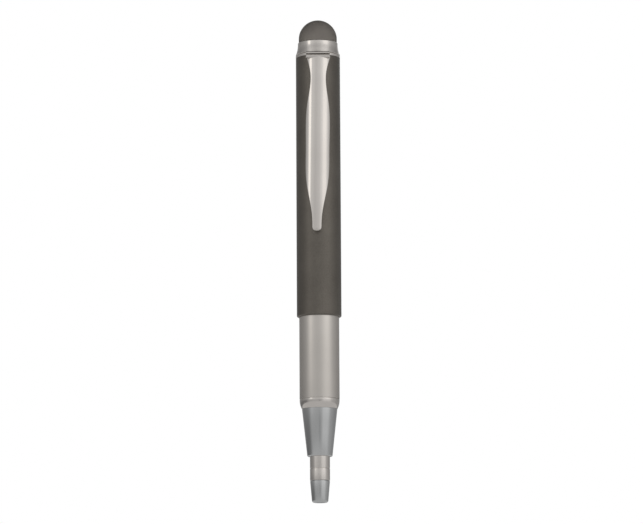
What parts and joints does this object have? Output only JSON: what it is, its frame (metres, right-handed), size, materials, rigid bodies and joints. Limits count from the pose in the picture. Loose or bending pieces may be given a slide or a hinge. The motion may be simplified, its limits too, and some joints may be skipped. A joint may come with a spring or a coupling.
{
  "type": "telescopic stylus ballpoint pen",
  "caption": "Slim metal ballpoint pen that pulls out to full length, with a twist-out refill, a pocket clip and a soft stylus dome.",
  "frame": {"origin": "centre of the barrel's open mouth, on the pen's axis", "axes": "+Z along the pen from the writing end to the stylus dome, the clip on the -Y side, +X to the right of the clip"},
  "size_m": [0.0104, 0.0125, 0.1138],
  "materials": {
    "gunmetal_lacquer": "satin metallic lacquer",
    "satin_silver": "satin",
    "chrome": "polished",
    "dome_rubber": "soft matt",
    "brass": "turned",
    "cam_plastic": "moulded",
    "liner_plastic": "moulded",
    "spring_steel": "drawn",
    "refill_metal": "plain",
    "ink": "thick liquid"
  },
  "bodies": {
    "barrel": {"barrel": "gunmetal_lacquer", "key_liner": "liner_plastic", "crown_plug": "brass", "clip_ring": "chrome", "crown_collar": "chrome", "stylus_dome": "dome_rubber"},
    "clip": {"clip": "chrome"},
    "cam": {"cam_rotor": "cam_plastic", "retaining_ring": "spring_steel"},
    "front": {"slide_tube": "satin_silver", "glide_ring": "cam_plastic", "cam_housing": "cam_plastic", "spring_seat": "brass", "return_spring": "spring_steel", "tube_ring": "satin_silver", "cone": "chrome", "nose_sleeve": "satin_silver", "nose_tip": "chrome"},
    "refill": {"refill_carriage": "cam_plastic", "carriage_pin": "spring_steel", "refill_tube": "refill_metal", "refill_ink": "ink", "refill_point": "brass", "refill_ball": "refill_metal"}
  },
  "joints": [
    {"name": "telescope", "type": "slide", "parent": "barrel", "child": "cam", "axis": [0, 0, 1], "range_m": [0, 0.019]},
    {"name": "twist", "type": "hinge", "parent": "cam", "child": "front", "pos_m": [0, 0, 0], "axis": [0, 0, 1], "range_deg": [0, 180]},
    {"name": "refill_advance", "type": "slide", "parent": "front", "child": "refill", "axis": [0, 0, -1], "range_m": [0, 0.003], "deforming": ["return_spring"]},
    {"name": "clip_flex", "type": "hinge", "parent": "barrel", "child": "clip", "pos_m": [0, -0.00598, 0.06085], "axis": [-1, 0, 0], "range_deg": [0, 4], "stiffness_Nm_per_rad": 2.5}
  ],
  "couplings": [
    {"joint": "twist", "follows": "refill_advance", "rad_per_m": 1047.2}
  ]
}
